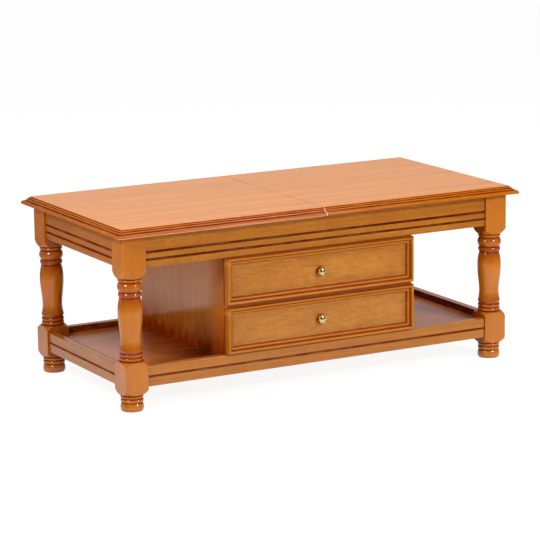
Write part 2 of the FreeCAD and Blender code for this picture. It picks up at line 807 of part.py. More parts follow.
os.makedirs("parts", exist_ok=True)
for node, shape in make_nodes().items():
    shape.exportStep("parts/" + node + ".step")
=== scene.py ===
"""Looks of a storage coffee table with turned legs, two drawers and a top of two sliding leaves.

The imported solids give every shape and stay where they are. This script dresses them in stained and
lacquered wood, brass, steel, beech and plywood, and sets them in a plain studio before a camera that
stands at the photograph's viewing angle. Lengths are in millimetres where a name ends in _mm or where
a class says so, and in metres elsewhere.
"""

import logging
import math
from dataclasses import dataclass, replace
from enum import Enum

import bmesh
import bpy
from mathutils import Matrix, Vector

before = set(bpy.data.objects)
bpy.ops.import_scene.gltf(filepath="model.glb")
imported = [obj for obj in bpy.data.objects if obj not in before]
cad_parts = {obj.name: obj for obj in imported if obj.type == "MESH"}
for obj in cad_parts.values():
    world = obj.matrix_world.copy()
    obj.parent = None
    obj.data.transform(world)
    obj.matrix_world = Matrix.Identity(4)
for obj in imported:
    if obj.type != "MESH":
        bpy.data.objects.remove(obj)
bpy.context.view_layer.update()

LOG = logging.getLogger("coffee_table")
MM = 0.001
WHITE = "#FFFFFF"

# The sRGB curve: a straight foot below the knee, and a power above it.
SRGB_FULL = 255.0
SRGB_KNEE = 0.04045
SRGB_FOOT = 12.92
SRGB_OFFSET = 0.055
SRGB_POWER = 2.4

Rgba = tuple[float, float, float, float]

# A new colour ramp already has two stops.
NEW_RAMP_STOPS = 2

# A Mix node's sockets share their names, so they go by number.
MIX_SHARE = 0
MIX_VECTORS = (4, 5)
MIX_COLOURS = (6, 7)
MIXED_VECTOR = 1
MIXED_COLOUR = 2


def hex_linear(code: str) -> Rgba:
    """Turns an sRGB hex colour into linear red, green, blue and a full alpha.

    Args:
        code: the colour as "#RRGGBB".

    Returns:
        Four numbers from 0 to 1, as Blender's colour sockets take them.
    """
    linear = []
    for level in bytes.fromhex(code.removeprefix("#")):
        share = level / SRGB_FULL
        curved = ((share + SRGB_OFFSET) / (1.0 + SRGB_OFFSET)) ** SRGB_POWER
        linear.append(share / SRGB_FOOT if share <= SRGB_KNEE else curved)
    return (*linear, 1.0)


def add(tree: bpy.types.NodeTree, kind: str, sockets: dict[str | int, object] | None = None,
        stops: list[tuple[float, Rgba]] | None = None, **settings: object) -> bpy.types.Node:
    """Adds one node with its settings, links and values.

    Args:
        tree: the node tree that takes the node.
        kind: the node's type name in Blender.
        sockets: input socket names or numbers, each with a value or with an output to link.
        stops: pairs of place and colour, for a node that holds a colour ramp.
        settings: the node's own properties.

    Returns:
        The new node.
    """
    node = tree.nodes.new(kind)
    for name, value in settings.items():
        setattr(node, name, value)
    for name, value in (sockets or {}).items():
        if isinstance(value, bpy.types.NodeSocket):
            tree.links.new(value, node.inputs[name])
        else:
            node.inputs[name].default_value = value
    for number, (place, colour) in enumerate(stops or []):
        elements = node.color_ramp.elements
        element = elements[number] if number < NEW_RAMP_STOPS else elements.new(place)
        element.position = place
        element.color = colour
    return node


def new_material(name: str) -> tuple[bpy.types.Material, bpy.types.NodeTree]:
    """Makes a material with no nodes yet.

    Args:
        name: the real material and how its surface was made.

    Returns:
        The material and its empty node tree.
    """
    material = bpy.data.materials.new(name)
    material.use_nodes = True
    material.node_tree.nodes.clear()
    return material, material.node_tree


class Axis(Enum):
    """The table's directions: along its front, from front to back, and upwards."""

    X = "X"
    Y = "Y"
    Z = "Z"


class Level(Enum):
    """The two drawers, one above the other."""

    LOWER = "lower"
    UPPER = "upper"


class Side(Enum):
    """The two leaves of the top."""

    LEFT = "left"
    RIGHT = "right"


def millimetres(tree: bpy.types.NodeTree) -> bpy.types.Node:
    """Gives the table's own coordinates in millimetres, made once for each tree.

    Args:
        tree: the material's node tree.

    Returns:
        A node whose outputs X, Y and Z hold the coordinates.
    """
    label = "millimetres"
    known = tree.nodes.get(label)
    if known:
        return known
    place = add(tree, "ShaderNodeTexCoord")
    scaled = add(tree, "ShaderNodeVectorMath", {0: place.outputs["Object"], "Scale": 1.0 / MM},
                 operation="SCALE")
    return add(tree, "ShaderNodeSeparateXYZ", {0: scaled.outputs[0]}, name=label)


def work(tree: bpy.types.NodeTree, operation: str, *values: object) -> bpy.types.NodeSocket:
    """Works out one sum from numbers and outputs.

    Args:
        tree: the material's node tree.
        operation: the sum's name in Blender.
        values: the numbers or outputs that go in.

    Returns:
        The output that holds the result.
    """
    return add(tree, "ShaderNodeMath", dict(enumerate(values)), operation=operation).outputs[0]


@dataclass(frozen=True)
class Band:
    """One stripe of toner, rubbing, painted shade or painted light: its place and reach (mm), its depth and
    its flat share of the reach.

    A depth above 1 makes up for the uneven coat, which thins every stripe in places.
    """

    place: float
    reach: float
    depth: float
    flat: float = 0.0

    def level(self, spot: float) -> float:
        """Gives the stripe's depth at a spot."""
        slope = (1.0 - abs(spot - self.place) / self.reach) / (1.0 - self.flat)
        return self.depth * min(1.0, max(0.0, slope))


@dataclass(frozen=True)
class Wipe:
    """How stripes were wiped, rubbed or painted as shade or light: the reach to each side (mm), the depth and
    the reach's flat share.
    """

    reach: float
    depth: float
    flat: float = 0.0

    def at(self, *places: float) -> tuple[Band, ...]:
        """Lays one stripe at each place."""
        return tuple(Band(place, self.reach, self.depth, self.flat) for place in places)


def fades(tree: bpy.types.NodeTree, length: bpy.types.NodeSocket,
          bands: tuple[Band, ...]) -> bpy.types.NodeSocket:
    """Draws stripes across a length.

    Args:
        tree: the material's node tree.
        length: the output that holds the length in millimetres.
        bands: the stripes, in any order, which may overlap.

    Returns:
        An output that is 0 between the stripes and rises to their depth in them.
    """
    low = min(band.place - band.reach for band in bands)
    high = max(band.place + band.reach for band in bands)
    share = add(tree, "ShaderNodeMapRange", {"Value": length, "From Min": low, "From Max": high})
    spots = {band.place + side * band.reach
             for band in bands for side in (-1.0, -band.flat, band.flat, 1.0)}
    stops = []
    for spot in sorted(spots):
        depth = max(band.level(spot) for band in bands)
        stops.append(((spot - low) / (high - low), (depth, depth, depth, 1.0)))
    return add(tree, "ShaderNodeValToRGB", {0: share.outputs[0]}, stops=stops).outputs["Color"]


@dataclass(frozen=True)
class Stripes:
    """Stripes across one of the table's directions, the same on both sides of the middle if folded."""

    axis: Axis
    bands: tuple[Band, ...]
    folded: bool = False

    def mask(self, tree: bpy.types.NodeTree) -> bpy.types.NodeSocket:
        """Draws the stripes.

        Args:
            tree: the material's node tree.

        Returns:
            An output that is 0 on bare stain and rises to the stripes' depth.
        """
        length = millimetres(tree).outputs[self.axis.value]
        if self.folded:
            length = work(tree, "ABSOLUTE", length)
        return fades(tree, length, self.bands)


@dataclass(frozen=True)
class Surround:
    """Stripes that follow a rectangle on a drawer's front, by the distance in from its outline (mm)."""

    centre_z: float
    half_width: float
    half_height: float
    bands: tuple[Band, ...]

    def insets(self, tree: bpy.types.NodeTree) -> tuple[bpy.types.NodeSocket, bpy.types.NodeSocket]:
        """Measures how far in from the rectangle's outline a place lies.

        Args:
            tree: the material's node tree.

        Returns:
            The distances in from the upright sides and from the level sides.
        """
        split = millimetres(tree)
        in_x = work(tree, "SUBTRACT", self.half_width, work(tree, "ABSOLUTE", split.outputs["X"]))
        from_z = work(tree, "SUBTRACT", split.outputs["Z"], self.centre_z)
        in_z = work(tree, "SUBTRACT", self.half_height, work(tree, "ABSOLUTE", from_z))
        return in_x, in_z

    def mask(self, tree: bpy.types.NodeTree) -> bpy.types.NodeSocket:
        """Draws the stripes round the rectangle, 0 on bare stain and up to their depth in them."""
        return fades(tree, work(tree, "MINIMUM", *self.insets(tree)), self.bands)


@dataclass(frozen=True)
class Ring:
    """Stripes round the foot of a knob, by the distance from the knob's middle line (mm); the drawers use
    them for a painted shadow.
    """

    centre_z: float
    bands: tuple[Band, ...]

    def mask(self, tree: bpy.types.NodeTree) -> bpy.types.NodeSocket:
        """Draws the rings.

        Args:
            tree: the material's node tree.

        Returns:
            An output that is 0 on bare stain and rises to the rings' depth.
        """
        split = millimetres(tree)
        from_z = work(tree, "SUBTRACT", split.outputs["Z"], self.centre_z)
        square = work(tree, "MULTIPLY_ADD", from_z, from_z,
                      work(tree, "MULTIPLY", split.outputs["X"], split.outputs["X"]))
        return fades(tree, work(tree, "SQRT", square), self.bands)


@dataclass(frozen=True)
class PostCorners:
    """Stripes along the upright corners of the square posts, by the distance from a post's middle (mm)."""

    middle_x: float
    middle_y: float
    bands: tuple[Band, ...]

    def mask(self, tree: bpy.types.NodeTree) -> bpy.types.NodeSocket:
        """Draws the stripes, which lie where both distances from the post's middle are long.

        Args:
            tree: the material's node tree.

        Returns:
            An output that is 0 on the posts' faces and rises to the stripes' depth.
        """
        reaches = []
        for axis, middle in ((Axis.X, self.middle_x), (Axis.Y, self.middle_y)):
            folded = work(tree, "ABSOLUTE", millimetres(tree).outputs[axis.value])
            reaches.append(work(tree, "ABSOLUTE", work(tree, "SUBTRACT", folded, middle)))
        return fades(tree, work(tree, "MINIMUM", *reaches), self.bands)


# Where a coat of toner or a rubbing lies on a piece, and where shade or light is painted.
Mask = Stripes | Surround | Ring | PostCorners


@dataclass(frozen=True)
class Straight:
    """Grain that runs along one direction through the whole piece."""

    axis: Axis

    def along(self, tree: bpy.types.NodeTree) -> bpy.types.NodeSocket:
        """Turns the table's coordinates to the grain.

        Args:
            tree: the material's node tree.

        Returns:
            A place in millimetres whose X runs along the grain.
        """
        split = millimetres(tree)
        across, through = (axis.value for axis in Axis if axis is not self.axis)
        turned = add(tree, "ShaderNodeCombineXYZ",
                     {"X": split.outputs[self.axis.value], "Y": split.outputs[across],
                      "Z": split.outputs[through]})
        return turned.outputs[0]


@dataclass(frozen=True)
class Mitred:
    """Grain that follows four mitred strips round a rectangle on a drawer's front."""

    outline: Surround

    def along(self, tree: bpy.types.NodeTree) -> bpy.types.NodeSocket:
        """Turns the table's coordinates to the strips' grain.

        Args:
            tree: the material's node tree.

        Returns:
            A place in millimetres whose X runs along the strip.
        """
        upright = work(tree, "LESS_THAN", *self.outline.insets(tree))
        level_strip, upright_strip = MIX_VECTORS
        mixed = add(tree, "ShaderNodeMix",
                    {MIX_SHARE: upright, level_strip: Straight(Axis.X).along(tree),
                     upright_strip: Straight(Axis.Z).along(tree)},
                    data_type="VECTOR")
        return mixed.outputs[MIXED_VECTOR]


@dataclass(frozen=True)
class GrainLayer:
    """One scale of the wood's figure: the length and width of its marks (mm) and its share of the tone."""

    length: float
    width: float
    share: float
    detail: float = 2.0
    fray: float = 0.55
    waver: float = 0.3

    def marks(self, tree: bpy.types.NodeTree, place: bpy.types.NodeSocket) -> bpy.types.NodeSocket:
        """Draws the marks along the X of a place.

        Args:
            tree: the material's node tree.
            place: the output that holds the place in millimetres.

        Returns:
            An output from 0 to 1, about 0.5 in the mean.
        """
        across = 1.0 / self.width
        stretched = add(tree, "ShaderNodeVectorMath", {0: place, 1: (1.0 / self.length, across, across)},
                        operation="MULTIPLY")
        noise = add(tree, "ShaderNodeTexNoise",
                    {"Vector": stretched.outputs[0], "Scale": 1.0, "Detail": self.detail,
                     "Roughness": self.fray, "Distortion": self.waver})
        return noise.outputs["Fac"]


@dataclass(frozen=True)
class LacqueredWood:
    """Wood that was stained, toned in its recesses, rubbed on its corners and sprayed with clear lacquer.

    The eye sees a warm ground with long streaks and short dark pores, a red-brown line wherever toner
    was left in a recess, a paler line where a corner was rubbed, and over all of it a lacquer that mirrors
    the room softly, strongly where it is seen at a slant. The same toner and rubbed colours also lay
    painted shade, painted shadows, painted sheen and painted highlights in places. Tones and figures run
    from 0 to 1.
    """

    name: str
    dark: str
    middle: str
    light: str
    toner: str
    layers: tuple[GrainLayer, ...]
    pores: GrainLayer
    rubbed: str = "#D98A3A"
    rough_low: float = 0.20
    rough_high: float = 0.30
    pore_depth: float = 0.08
    toner_dull: float = 0.9
    arris_mm: float = 0.8
    gloss: float = 0.5
    ior: float = 1.5
    stain_tones: tuple[float, float, float] = (0.32, 0.5, 0.68)
    pore_edge: float = 0.46
    pore_heart: float = 0.30
    pore_drop_mm: float = 0.4
    rough_tones: tuple[float, float] = (0.25, 0.75)
    patches: GrainLayer = GrainLayer(40.0, 14.0, 1.0)
    patch_tones: tuple[float, float] = (0.3, 0.6)
    thinnest: float = 0.72
    arris_samples: int = 6

    def stain(self, tree: bpy.types.NodeTree, place: bpy.types.NodeSocket) -> bpy.types.NodeSocket:
        """Draws the stained wood's streaks.

        Args:
            tree: the material's node tree.
            place: a place in millimetres whose X runs along the grain.

        Returns:
            The output that holds the stain's colour.
        """
        tone = 0.0
        for layer in self.layers:
            tone = work(tree, "MULTIPLY_ADD", layer.marks(tree, place), layer.share, tone)
        shades = (self.dark, self.middle, self.light)
        stops = [(spot, hex_linear(shade)) for spot, shade in zip(self.stain_tones, shades)]
        return add(tree, "ShaderNodeValToRGB", {0: tone}, stops=stops).outputs["Color"]

    def lacquer(self, tree: bpy.types.NodeTree, colour: bpy.types.NodeSocket,
                pores: bpy.types.NodeSocket, thick: bpy.types.NodeSocket | float) -> None:
        """Sprays the lacquer over the colour and ends the material.

        Args:
            tree: the material's node tree.
            colour: the output that holds the stained, toned and rubbed colour.
            pores: the output that holds the pores' figure.
            thick: how thick toner or painted shade lies on top, which takes the shine away.
        """
        smooth_from, smooth_to = self.rough_tones
        rough = add(tree, "ShaderNodeMapRange",
                    {"Value": pores, "From Min": smooth_from, "From Max": smooth_to,
                     "To Min": self.rough_high, "To Max": self.rough_low})
        eased = add(tree, "ShaderNodeBevel", {"Radius": self.arris_mm * MM}, samples=self.arris_samples)
        bump = add(tree, "ShaderNodeBump",
                   {"Strength": self.pore_depth, "Distance": self.pore_drop_mm * MM, "Height": pores,
                    "Normal": eased.outputs[0]})
        shader = add(tree, "ShaderNodeBsdfPrincipled",
                     {"Base Color": colour, "Roughness": rough.outputs[0], "IOR": self.ior,
                      "Specular IOR Level": self.gloss, "Normal": bump.outputs[0]})
        dull = add(tree, "ShaderNodeBsdfDiffuse", {"Color": colour})
        mixed = add(tree, "ShaderNodeMixShader",
                    {0: work(tree, "MULTIPLY", thick, self.toner_dull), 1: shader.outputs[0],
                     2: dull.outputs[0]})
        add(tree, "ShaderNodeOutputMaterial", {"Surface": mixed.outputs[0]})

    def material(self, tag: str, grain: Straight | Mitred, toned: tuple[Mask, ...] = (),
                 rubs: tuple[Mask, ...] = (), tinted: tuple[Mask, ...] = ()) -> bpy.types.Material:
        """Makes the wood's material for one kind of piece.

        Args:
            tag: what the material is for, added to its name.
            grain: how the grain runs.
            toned: where toner lies on top and dulls the lacquer, and where shade is painted.
            rubs: where the finish was rubbed thin, and where highlights, light and sheen are painted.
            tinted: where toner lies under the lacquer and shines; on the legs these bands are partly painted
                shade.

        Returns:
            The finished material.
        """
        material, tree = new_material(f"{self.name}_{tag}")
        place = grain.along(tree)
        colour = self.stain(tree, place)
        pores = self.pores.marks(tree, place)
        flecks = add(tree, "ShaderNodeMapRange",
                     {"Value": pores, "From Min": self.pore_edge, "From Max": self.pore_heart,
                      "To Max": self.pores.share})
        thin, full = self.patch_tones
        uneven = add(tree, "ShaderNodeMapRange",
                     {"Value": self.patches.marks(tree, place), "From Min": thin, "From Max": full,
                      "To Min": self.thinnest, "To Max": 1.0})
        coats = [(flecks.outputs[0], self.toner)]
        thick = 0.0
        for stripes in toned:
            coats.append((work(tree, "MULTIPLY", stripes.mask(tree), uneven.outputs[0]), self.toner))
            thick = work(tree, "MAXIMUM", coats[-1][0], thick)
        for group, shade in ((tinted, self.toner), (rubs, self.rubbed)):
            coats += [(work(tree, "MULTIPLY", stripes.mask(tree), uneven.outputs[0]), shade)
                      for stripes in group]
        under, over = MIX_COLOURS
        for share, shade in coats:
            mixed = add(tree, "ShaderNodeMix", {MIX_SHARE: share, under: colour, over: hex_linear(shade)},
                        data_type="RGBA")
            colour = mixed.outputs[MIXED_COLOUR]
        self.lacquer(tree, colour, pores, thick)
        return material


# Figure of each kind of wood, from long streaks to short ones and broad patches.
SOLID_LAYERS = (GrainLayer(900.0, 22.0, 0.40), GrainLayer(160.0, 3.6, 0.34), GrainLayer(80.0, 40.0, 0.26))
FIELD_LAYERS = (GrainLayer(240.0, 14.0, 0.26), GrainLayer(22.0, 3.0, 0.52), GrainLayer(90.0, 50.0, 0.22))
TURNED_LAYERS = (GrainLayer(300.0, 20.0, 0.25), GrainLayer(80.0, 45.0, 0.75))
VENEER_LAYERS = (GrainLayer(1400.0, 34.0, 0.46), GrainLayer(260.0, 4.0, 0.36),
                 GrainLayer(150.0, 70.0, 0.18))

# Pores in these woods are about 0.2 mm wide, too fine to show, so they are drawn 1.8 to 3 mm wide.
SOLID_PORES = GrainLayer(18.0, 2.2, 0.26)
FIELD_PORES = GrainLayer(9.0, 2.2, 0.50)
RAIL_PORES = GrainLayer(12.0, 2.2, 0.60)
LOW_PORES = GrainLayer(20.0, 2.4, 0.20)
END_PORES = GrainLayer(24.0, 2.6, 0.05)
TURNED_PORES = GrainLayer(40.0, 3.0, 0.04)
VENEER_PORES = GrainLayer(34.0, 1.8, 0.16)

# Planed along the grain: a brown ground full of short dark flecks, with a low shine.
RAIL_WOOD = LacqueredWood(
    "rubberwood_planed_stained_and_lacquered", dark="#A05A0A", middle="#B06A0F", light="#BE7A1A",
    toner="#5A1200", layers=SOLID_LAYERS, pores=RAIL_PORES, pore_depth=0.02, gloss=0.35)
# A darker stain, which is painted shade low down, on calmer boards: fewer flecks and a little more shine.
SHADED_LOW_RAIL_WOOD = LacqueredWood(
    "rubberwood_planed_dark_stained_and_lacquered", dark="#9C560A", middle="#AC660E", light="#BA7418",
    toner="#661800", layers=SOLID_LAYERS, pores=LOW_PORES, rough_low=0.23, rough_high=0.28,
    pore_depth=0.02)
# A redder stain, darker as painted shade on the end pieces, on boards whose pores hardly show, so the brown
# looks even.
SHADED_END_RAIL_WOOD = replace(
    SHADED_LOW_RAIL_WOOD, name="rubberwood_planed_red_stained_and_lacquered", dark="#9E540E", middle="#AA6014",
    light="#B46C1C", pores=END_PORES)
# Turned and sanded on the lathe: an even orange-brown that mirrors clearly, with softly rounded rings.
TURNED_WOOD = LacqueredWood(
    "rubberwood_turned_stained_and_lacquered", dark="#B0620C", middle="#B7680F", light="#BE6E13",
    toner="#8A2C02", layers=TURNED_LAYERS, pores=TURNED_PORES, rough_low=0.10, rough_high=0.13,
    pore_depth=0.02, arris_mm=3.0)
# The same turning with a slightly deeper and redder stain and toner, as painted shade on the back legs.
SHADED_BACK_TURNED_WOOD = replace(
    TURNED_WOOD, name="rubberwood_turned_red_stained_and_lacquered", dark="#AE5E0C", middle="#B6640F",
    light="#BC6A12", toner="#7E2600")
# Sanded flat: a golden brown with many short streaks and flecks; its rubbed colour lays only painted light
# and sheen.
FIELD_WOOD = LacqueredWood(
    "rubberwood_sanded_stained_and_lacquered", dark="#A05C0A", middle="#B46F13", light="#C48124",
    toner="#7E3602", rubbed="#D26A1C", layers=FIELD_LAYERS, pores=FIELD_PORES, pore_depth=0.02)
# Run through a moulder: a golden brown with little shine, so toner lines show in its steps; its rubbed colour
# lays only painted light.
STRIP_WOOD = LacqueredWood(
    "rubberwood_moulded_stained_and_lacquered", dark="#A45B0C", middle="#B36A14", light="#C07822",
    toner="#8A2E00", rubbed="#C47C24", layers=SOLID_LAYERS, pores=SOLID_PORES, rough_low=0.28,
    rough_high=0.34, gloss=0.2)
# Run through a moulder: a deep orange with little shine; its pale rubbed colour lays painted highlight lines.
EDGE_WOOD = LacqueredWood(
    "rubberwood_moulded_red_stained_and_lacquered", dark="#AA5206", middle="#BA600A", light="#C86C10",
    toner="#6A1E00", rubbed="#F2C49A", layers=SOLID_LAYERS, pores=SOLID_PORES, rough_low=0.20,
    rough_high=0.26, gloss=0.2)
# The same moulding with less stain, a brighter orange.
END_EDGE_WOOD = replace(
    EDGE_WOOD, name="rubberwood_moulded_light_stained_and_lacquered", dark="#BC620C", middle="#CC7014",
    light="#DA7E1C")
# The same moulding with a yellower stain, a golden orange.
GOLDEN_EDGE_WOOD = replace(
    EDGE_WOOD, name="rubberwood_moulded_gold_stained_and_lacquered", dark="#AA5A02", middle="#BC6804",
    light="#CC7608")
# Sliced and pressed on a panel: a bright orange with long straight streaks and long fine pores.
TOP_VENEER = LacqueredWood(
    "oak_veneer_stained_and_lacquered", dark="#C47014", middle="#D57F1E", light="#E18D2C",
    toner="#5A1602", layers=VENEER_LAYERS, pores=VENEER_PORES)
# The same veneer with a paler stain, under red-brown toner that lies thick and dull where it is laid on as
# painted shade and a painted dark reflection.
PANEL_VENEER = LacqueredWood(
    "oak_veneer_pale_stained_and_lacquered", dark="#D6842A", middle="#E29034", light="#EC9C40",
    toner="#8E2C02", layers=VENEER_LAYERS, pores=VENEER_PORES, rough_low=0.12, rough_high=0.18,
    toner_dull=1.0)
# The same veneer with a brown stain and a full coat of lacquer, which mirrors the most.
SHELF_VENEER = LacqueredWood(
    "oak_veneer_brown_stained_and_lacquered", dark="#AC5812", middle="#B86418", light="#C47020",
    toner="#681C02", layers=VENEER_LAYERS, pores=VENEER_PORES, rough_low=0.25, rough_high=0.31, gloss=1.0)
# Planed and only sealed: pale yellow, with a blurred shine.
BARE_PINE = LacqueredWood(
    "pine_planed_and_sealed", dark="#C79A63", middle="#D2A974", light="#DAB583", toner="#A67A48",
    layers=SOLID_LAYERS, pores=SOLID_PORES, rough_low=0.42, rough_high=0.55)
# Sanded and only sealed: paler than the pine and duller.
PLYWOOD = LacqueredWood(
    "birch_plywood_sanded_and_sealed", dark="#CDB085", middle="#D5BA92", light="#DCC39E", toner="#A68A5C",
    layers=VENEER_LAYERS, pores=VENEER_PORES, rough_low=0.45, rough_high=0.58)
# Planed and waxed: a pale pinkish brown, with a soft shine.
BEECH = LacqueredWood(
    "beech_planed_and_waxed", dark="#BE9168", middle="#C99E76", light="#D1A984", toner="#9A7048",
    layers=SOLID_LAYERS, pores=SOLID_PORES, rough_low=0.38, rough_high=0.5)


@dataclass(frozen=True)
class Metal:
    """Plain metal, whose surface finish shows in how far it spreads a reflection."""

    name: str
    colour: str
    shade: str
    rough_low: float
    rough_high: float
    spot_mm: float
    detail: float = 3.0
    tones: tuple[float, float] = (0.35, 0.65)

    def material(self) -> bpy.types.Material:
        """Makes the metal's material, with a slightly uneven polish.

        Returns:
            The finished material.
        """
        material, tree = new_material(self.name)
        place = add(tree, "ShaderNodeTexCoord")
        noise = add(tree, "ShaderNodeTexNoise",
                    {"Vector": place.outputs["Object"], "Scale": 1.0 / (self.spot_mm * MM),
                     "Detail": self.detail})
        stops = [(tone, hex_linear(code)) for tone, code in zip(self.tones, (self.shade, self.colour))]
        colour = add(tree, "ShaderNodeValToRGB", {0: noise.outputs["Fac"]}, stops=stops)
        rough = add(tree, "ShaderNodeMapRange",
                    {"Value": noise.outputs["Fac"], "To Min": self.rough_low, "To Max": self.rough_high})
        shader = add(tree, "ShaderNodeBsdfPrincipled",
                     {"Base Color": colour.outputs["Color"], "Metallic": 1.0,
                      "Roughness": rough.outputs[0]})
        add(tree, "ShaderNodeOutputMaterial", {"Surface": shader.outputs[0]})
        return material


# Turned and polished: a pale yellow mirror whose polish is uneven in small spots.
BRASS = Metal("brass_turned_and_polished", colour="#E2C88C", shade="#CDAE70", rough_low=0.10,
              rough_high=0.22, spot_mm=3.0)
# Zinc plated: a light grey with a blurred, mottled shine.
STEEL = Metal("steel_zinc_plated", colour="#B9BCC0", shade="#A2A6AA", rough_low=0.3,
              rough_high=0.45, spot_mm=2.0)


def dress(node: str, material: bpy.types.Material) -> None:
    """Gives one solid its material and reports it.

    Args:
        node: the solid's name in the frame.
        material: the finish that covers all of it.
    """
    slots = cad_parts[node].data.materials
    slots.clear()
    slots.append(material)
    LOG.info("dressed %s in %s", node, material.name)


@dataclass
class Stand:
    """Legs, aprons and lower rails. Lengths are in millimetres, heights above the floor."""

    post_x: float = 501.5
    post_y: float = 221.5
    post_half: float = 30.0
    corner_inset: float = 0.4
    corner_rub: Wipe = Wipe(1.0, 0.45)
    # A dark line where the aprons and rails meet the posts: partly a toned joint, partly painted shade in the
    # corner.
    joint_toner_and_painted_shade: Wipe = Wipe(1.2, 0.6)
    low_recesses: tuple[float, ...] = (20.3, 30.0, 38.4, 120.8, 129.5, 139.5)
    high_recesses: tuple[float, ...] = (272.0, 285.1, 308.9, 317.2)
    # Darker, duller lines in every turned recess.
    recess_darkening: Wipe = Wipe(3.0, 1.0, 0.3)
    # Broad bands at both ends of the vase and over the torus: partly antique toning, partly painted shade.
    vase_toner_and_painted_shade: tuple[Band, ...] = (Band(142.0, 30.0, 0.75), Band(273.0, 34.0, 0.95), Band(306.0, 9.0, 0.6))
    apron_grooves: tuple[float, float] = (360.2, 378.2)
    apron_toner: Wipe = Wipe(3.9, 1.0, 0.5)
    # Painted shade on the long aprons, deepest at the right-hand posts and fading towards the middle.
    apron_right_painted_shade: Wipe = Wipe(170.0, 0.25)
    rail_groove: float = 81.0
    rail_toner: Wipe = Wipe(4.2, 0.95, 0.3)
    inner_x: float = 505.5
    inner_y: float = 225.5
    # Darker, duller inner faces on the lower rails.
    inner_darkening: Wipe = Wipe(3.0, 1.0, 0.3)

    def dress_legs(self) -> None:
        """Dresses the four legs: darker in every turned recess, toner and painted shade at both ends of the
        vase, a dark joint line with painted shade where the rails meet, and painted shade as a darker stain
        on the back legs.
        """
        vase = Stripes(Axis.Z, self.vase_toner_and_painted_shade)
        low = Stripes(Axis.Z, self.recess_darkening.at(*self.low_recesses))
        high = Stripes(Axis.Z, self.recess_darkening.at(*self.high_recesses))
        joint_x = Stripes(Axis.X, self.joint_toner_and_painted_shade.at(self.post_x - self.post_half), folded=True)
        joint_y = Stripes(Axis.Y, self.joint_toner_and_painted_shade.at(self.post_y - self.post_half), folded=True)
        toned = (low, high, joint_x, joint_y)
        corner = self.post_half - self.corner_inset
        corners = PostCorners(self.post_x, self.post_y, self.corner_rub.at(corner))
        for row, stock in (("front", TURNED_WOOD), ("back", SHADED_BACK_TURNED_WOOD)):
            wood = stock.material(f"{row}_legs", Straight(Axis.Z), toned, (corners,), (vase,))
            dress(f"leg_{row}_left", wood)
            dress(f"leg_{row}_right", wood)

    def dress_rails(self) -> None:
        """Dresses the aprons and lower rails, with toner in their scratched grooves, darker inner faces on
        the rails, painted shade towards the long aprons' right end, and darker stains as painted shade on the
        lower and end pieces.
        """
        grooves = Stripes(Axis.Z, self.apron_toner.at(*self.apron_grooves))
        groove = Stripes(Axis.Z, self.rail_toner.at(self.rail_groove))
        # Painted shade towards the right end of the long aprons.
        right_end_shade = Stripes(Axis.X, self.apron_right_painted_shade.at(self.post_x))
        inner_long = Stripes(Axis.Y, self.inner_darkening.at(self.inner_y), folded=True)
        inner_short = Stripes(Axis.X, self.inner_darkening.at(self.inner_x), folded=True)
        long_aprons = RAIL_WOOD.material("apron_X", Straight(Axis.X), (grooves, right_end_shade))
        long_rails = SHADED_LOW_RAIL_WOOD.material("rail_X", Straight(Axis.X), (groove, inner_long))
        short_aprons = SHADED_END_RAIL_WOOD.material("apron_Y", Straight(Axis.Y), (grooves,))
        short_rails = SHADED_END_RAIL_WOOD.material("rail_Y", Straight(Axis.Y), (groove, inner_short))
        for sides, aprons, rails in ((("front", "back"), long_aprons, long_rails),
                                     (("left", "right"), short_aprons, short_rails)):
            for side in sides:
                dress(f"{side}_apron", aprons)
                dress(f"{side}_lower_rail", rails)


@dataclass
class Cabinet:
    """The box between shelf and top, with the shelf, its battens and the runners. Lengths are in mm."""

    shelf_top: float = 90.0
    front_y: float = -233.0
    side_x: float = -270.0
    # Painted shade on the shelf beside the cabinet's left side, fading away from it.
    shelf_painted_shade: Wipe = Wipe(180.0, 0.85)
    # Painted shade on the cabinet's sides: deep low down, and darkest at the front edge, fading towards the
    # back.
    low_painted_shade: Wipe = Wipe(110.0, 1.15)
    front_painted_shade: Wipe = Wipe(100.0, 0.8)

    def dress_panels(self) -> None:
        """Dresses the shelf and the cabinet's panels, with painted shade on the shelf beside the cabinet's
        left side and on the sides low down and towards the front.
        """
        # Painted shade on the shelf next to the cabinet.
        beside = Stripes(Axis.X, self.shelf_painted_shade.at(self.side_x))
        dress("lower_shelf", SHELF_VENEER.material("shelf", Straight(Axis.X), (beside,)))
        # Painted shade on the cabinet's sides, low down and towards the front.
        low = Stripes(Axis.Z, self.low_painted_shade.at(self.shelf_top))
        front = Stripes(Axis.Y, self.front_painted_shade.at(self.front_y))
        upright = PANEL_VENEER.material("cabinet", Straight(Axis.Z), (low, front))
        dress("cabinet_left_side", upright)
        dress("cabinet_right_side", upright)
        dress("cabinet_back", SHELF_VENEER.material("cabinet_back", Straight(Axis.Z)))
        dress("well_floor", PANEL_VENEER.material("well", Straight(Axis.X)))

    def dress_inner_parts(self) -> None:
        """Dresses battens, guides, runners and all screws."""
        dress("shelf_battens", BARE_PINE.material("batten", Straight(Axis.X)))
        beech_x = BEECH.material("guide", Straight(Axis.X))
        for node in ("front_guide_rail", "back_guide_rail", "left_leaf_runners", "right_leaf_runners"):
            dress(node, beech_x)
        beech_y = BEECH.material("drawer_runner", Straight(Axis.Y))
        steel = STEEL.material()
        for node in ("cabinet_screws", "drawer_runner_screws", "guide_rail_screws",
                     "left_leaf_screws", "right_leaf_screws"):
            dress(node, steel)
        for level in Level:
            dress(f"{level.value}_drawer_runners", beech_y)
            dress(f"{level.value}_drawer_knob_screw", steel)
            dress(f"{level.value}_drawer_front_screws", steel)


